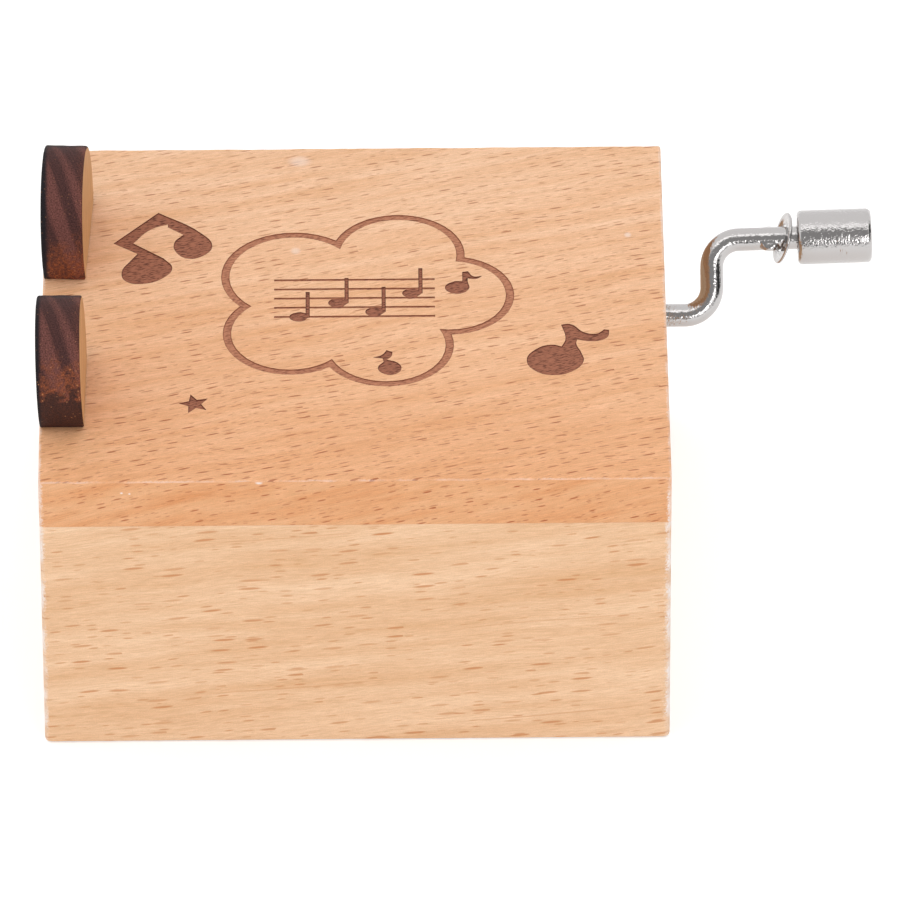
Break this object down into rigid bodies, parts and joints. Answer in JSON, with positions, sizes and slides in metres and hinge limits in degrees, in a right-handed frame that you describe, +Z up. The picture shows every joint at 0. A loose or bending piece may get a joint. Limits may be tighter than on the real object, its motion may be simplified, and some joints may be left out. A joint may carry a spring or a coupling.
{
  "type": "hand crank music box",
  "caption": "Small glued wooden box with a wire crank at one end that turns a pinned cylinder under a steel comb; two upright part-round discs stand along one top edge.",
  "frame": {"origin": "centre of the case's underside, on the bottom plate's flat face", "axes": "+X runs to the crank end, -Y is the front, +Z is up through the lid"},
  "size_m": [0.086, 0.056, 0.0448],
  "materials": {
    "lid_beech": "sanded bare beech, pinkish, fine dark pores, laser burnt figures",
    "wall_beech": "sanded bare beech, paler, long fine streaks",
    "disc_wood": "laser cut hardwood, rim burnt dark brown, faces light",
    "plated_steel": "bright nickel plate, fine scratches",
    "zinc_casting": "as cast zinc alloy, dull grey",
    "comb_steel": "ground spring steel",
    "brass": "turned brass",
    "acetal": "moulded white acetal",
    "screw_steel": "yellow zinc plated steel"
  },
  "bodies": {
    "case": {"top_board": "lid_beech", "front_wall": "wall_beech", "back_wall": "wall_beech", "left_end_wall": "wall_beech", "right_end_wall": "wall_beech", "bottom_plate": "wall_beech", "left_cleat": "wall_beech", "right_cleat": "wall_beech", "bottom_screw_1": "screw_steel", "bottom_screw_2": "screw_steel", "bottom_screw_3": "screw_steel", "bottom_screw_4": "screw_steel", "upright_disc_front": "disc_wood", "upright_disc_back": "disc_wood", "bedplate": "zinc_casting", "movement_screw_1": "screw_steel", "movement_screw_2": "screw_steel", "movement_screw_3": "screw_steel", "arbor_bracket": "zinc_casting", "bracket_screw_1": "screw_steel", "bracket_screw_2": "screw_steel", "comb": "comb_steel", "comb_screw_1": "screw_steel", "comb_screw_2": "screw_steel"},
    "crank": {"crank_wire": "plated_steel", "worm": "acetal", "shaft_clip": "comb_steel"},
    "knob": {"knob": "plated_steel"},
    "washer": {"knob_washer": "plated_steel"},
    "cylinder": {"pinned_cylinder": "brass", "cylinder_cap_front": "brass", "cylinder_cap_back": "brass", "arbor": "comb_steel", "worm_wheel": "brass"}
  },
  "joints": [
    {"name": "crank_turn", "type": "hinge", "parent": "case", "child": "crank", "pos_m": [0.032, 0.0127, 0.0234], "axis": [1, 0, 0], "continuous": true},
    {"name": "cylinder_turn", "type": "hinge", "parent": "case", "child": "cylinder", "pos_m": [0.006, -0.00042, 0.0151], "axis": [0, 1, 0], "continuous": true},
    {"name": "knob_spin", "type": "hinge", "parent": "crank", "child": "knob", "pos_m": [0.03988, 0.0175, 0.02955], "axis": [0.9997, 0.0161, 0.0206], "continuous": true},
    {"name": "washer_spin", "type": "hinge", "parent": "crank", "child": "washer", "pos_m": [0.03988, 0.0175, 0.02955], "axis": [0.9997, 0.0161, 0.0206], "continuous": true}
  ],
  "couplings": [
    {"joint": "cylinder_turn", "follows": "crank_turn", "ratio": 0.041667}
  ]
}
